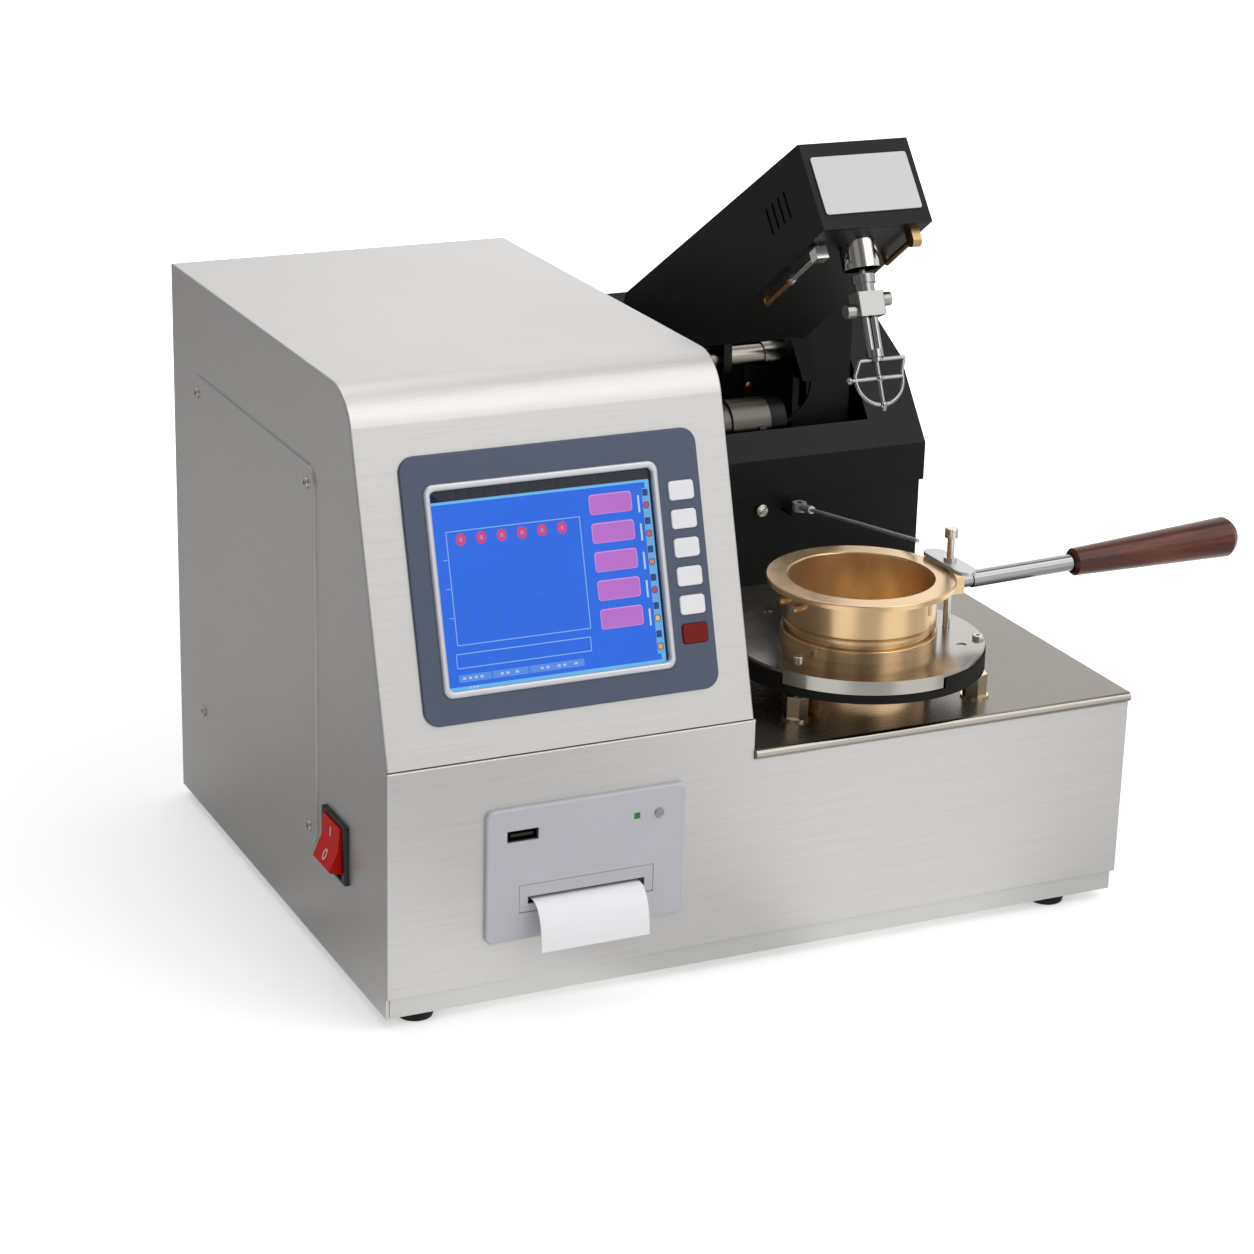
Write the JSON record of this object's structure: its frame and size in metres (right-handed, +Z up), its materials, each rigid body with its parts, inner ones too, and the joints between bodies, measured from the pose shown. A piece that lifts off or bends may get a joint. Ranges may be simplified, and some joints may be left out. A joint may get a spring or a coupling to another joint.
{
  "type": "flash point tester",
  "caption": "Bench flash point tester: a control housing with screen, keys and strip printer beside a heated open cup under a tilting test head.",
  "frame": {"origin": "on the surface it stands on, under the middle of the front left foot", "axes": "+Z up; -Y to the front, which faces the user; +X to the user's right, towards the cup handle"},
  "size_m": [0.524, 0.3455, 0.4071],
  "materials": {
    "access_cover": "brushed",
    "access_cover_screws": "polished",
    "base_tray": "matt",
    "control_hood": "brushed",
    "deck_plate": "brushed",
    "display_bezel": "matt",
    "display_board": "matt",
    "drive_shaft": "turned",
    "feed_button": "matt",
    "flash_ring": "polished",
    "front_cover": "brushed",
    "gear_motor": "satin",
    "handle_grip": "gloss varnish",
    "handle_rod": "polished",
    "head_base": "fine texture",
    "head_cover": "fine texture",
    "heater_block": "satin",
    "hot_plate": "polished",
    "ignition_rod": "polished",
    "inner_side_wall": "brushed",
    "insulating_disc": "matt",
    "key_1": "matt",
    "key_2": "matt",
    "key_3": "matt",
    "key_4": "matt",
    "key_5": "matt",
    "label_plate": "satin",
    "latch_plate": "satin",
    "lcd_panel": "gloss",
    "left_gas_pipe": "satin",
    "left_side_panel": "brushed",
    "lift_pinion": "cut",
    "locating_pin": "polished",
    "mains_inlet": "gloss",
    "paper_roll": "paper",
    "paper_strip": "paper",
    "plate_collar": "polished",
    "platen_roller": "matt",
    "power_supply": "plain",
    "printer_door": "matt",
    "printer_frame": "matt",
    "printer_panel": "matt",
    "probe_stem": "turned",
    "rear_panel": "brushed",
    "right_gas_pipe": "polished",
    "right_side_cover": "brushed",
    "rubber_feet": "matt",
    "screen_frame": "satin",
    "shaft_bracket": "satin",
    "standoff_nuts": "polished",
    "standoff_studs": "polished",
    "status_lamp": "gloss",
    "stop_key": "matt",
    "switch_body": "gloss",
    "switch_rocker": "gloss",
    "temperature_probe": "polished",
    "test_cup": "polished",
    "tower_base": "fine texture",
    "tower_cover": "fine texture",
    "usb_socket": "plain"
  },
  "bodies": {
    "body": {"access_cover": "access_cover", "access_cover_screws": "access_cover_screws", "base_tray": "base_tray", "control_hood": "control_hood", "deck_plate": "deck_plate", "display_bezel": "display_bezel", "display_board": "display_board", "front_cover": "front_cover", "gear_motor": "gear_motor", "heater_block": "heater_block", "hot_plate": "hot_plate", "inner_side_wall": "inner_side_wall", "insulating_disc": "insulating_disc", "lcd_panel": "lcd_panel", "left_side_panel": "left_side_panel", "mains_inlet": "mains_inlet", "paper_strip": "paper_strip", "plate_collar": "plate_collar", "power_supply": "power_supply", "printer_frame": "printer_frame", "printer_panel": "printer_panel", "rear_panel": "rear_panel", "right_side_cover": "right_side_cover", "rubber_feet": "rubber_feet", "screen_frame": "screen_frame", "shaft_bracket": "shaft_bracket", "standoff_nuts": "standoff_nuts", "standoff_studs": "standoff_studs", "status_lamp": "status_lamp", "switch_body": "switch_body", "tower_base": "tower_base", "tower_cover": "tower_cover", "usb_socket": "usb_socket"},
    "switch_rocker": {"switch_rocker": "switch_rocker"},
    "printer_door": {"printer_door": "printer_door"},
    "feed_button": {"feed_button": "feed_button"},
    "paper_roll": {"paper_roll": "paper_roll"},
    "platen_roller": {"platen_roller": "platen_roller"},
    "cup": {"test_cup": "test_cup", "handle_rod": "handle_rod", "handle_grip": "handle_grip", "locating_pin": "locating_pin"},
    "latch_plate": {"latch_plate": "latch_plate"},
    "ignition_rod": {"ignition_rod": "ignition_rod"},
    "head": {"drive_shaft": "drive_shaft", "head_cover": "head_cover", "head_base": "head_base", "label_plate": "label_plate", "probe_stem": "probe_stem", "temperature_probe": "temperature_probe", "flash_ring": "flash_ring", "left_gas_pipe": "left_gas_pipe", "right_gas_pipe": "right_gas_pipe"},
    "lift_pinion": {"lift_pinion": "lift_pinion"},
    "key_1": {"key_1": "key_1"},
    "key_2": {"key_2": "key_2"},
    "key_3": {"key_3": "key_3"},
    "key_4": {"key_4": "key_4"},
    "key_5": {"key_5": "key_5"},
    "stop_key": {"stop_key": "stop_key"}
  },
  "joints": [
    {"name": "switch_tilt", "type": "hinge", "parent": "body", "child": "switch_rocker", "pos_m": [-0.017, 0.055, 0.072], "axis": [0, -1, 0], "range_deg": [0, 28]},
    {"name": "key_1_press", "type": "slide", "parent": "body", "child": "key_1", "axis": [0, 0.9555, -0.2949], "range_m": [0, 0.0012], "stiffness_N_per_m": 300},
    {"name": "key_2_press", "type": "slide", "parent": "body", "child": "key_2", "axis": [0, 0.9555, -0.2949], "range_m": [0, 0.0012], "stiffness_N_per_m": 300},
    {"name": "key_3_press", "type": "slide", "parent": "body", "child": "key_3", "axis": [0, 0.9555, -0.2949], "range_m": [0, 0.0012], "stiffness_N_per_m": 300},
    {"name": "key_4_press", "type": "slide", "parent": "body", "child": "key_4", "axis": [0, 0.9555, -0.2949], "range_m": [0, 0.0012], "stiffness_N_per_m": 300},
    {"name": "key_5_press", "type": "slide", "parent": "body", "child": "key_5", "axis": [0, 0.9555, -0.2949], "range_m": [0, 0.0012], "stiffness_N_per_m": 300},
    {"name": "stop_key_press", "type": "slide", "parent": "body", "child": "stop_key", "axis": [0, 0.9555, -0.2949], "range_m": [0, 0.0012], "stiffness_N_per_m": 300},
    {"name": "feed_button_press", "type": "slide", "parent": "body", "child": "feed_button", "axis": [0, 1, 0], "range_m": [0, 0.001], "stiffness_N_per_m": 200},
    {"name": "printer_door_tilt", "type": "hinge", "parent": "body", "child": "printer_door", "pos_m": [0.0847, -0.0156, 0.0547], "axis": [1, 0, 0], "range_deg": [0, 75], "deforming": ["paper_strip"]},
    {"name": "paper_roll_turn", "type": "hinge", "parent": "body", "child": "paper_roll", "pos_m": [0.0847, 0.026, 0.066], "axis": [1, 0, 0], "continuous": true},
    {"name": "platen_turn", "type": "hinge", "parent": "body", "child": "platen_roller", "pos_m": [0.0847, -0.004, 0.06455], "axis": [1, 0, 0], "continuous": true},
    {"name": "cup_lift", "type": "slide", "parent": "body", "child": "cup", "axis": [0, 0, 1], "range_m": [0, 0.01]},
    {"name": "latch_turn", "type": "hinge", "parent": "cup", "child": "latch_plate", "pos_m": [0.313, 0.033, 0.1882], "axis": [0, 0, 1], "range_deg": [0, 90]},
    {"name": "ignition_sweep", "type": "hinge", "parent": "body", "child": "ignition_rod", "pos_m": [0.3145, 0.2025, 0.168], "axis": [0, 0, -1], "range_deg": [0, 60]},
    {"name": "head_tilt", "type": "hinge", "parent": "body", "child": "head", "pos_m": [0.2618, 0.251, 0.246], "axis": [1, 0, 0], "range_deg": [0, 28]},
    {"name": "pinion_turn", "type": "hinge", "parent": "body", "child": "lift_pinion", "pos_m": [0.203, 0.23793, 0.21085], "axis": [1, 0, 0], "range_deg": [-80, 0]}
  ],
  "couplings": [
    {"joint": "platen_turn", "follows": "paper_roll_turn", "ratio": 3.4},
    {"joint": "pinion_turn", "follows": "head_tilt", "ratio": -2.75}
  ]
}
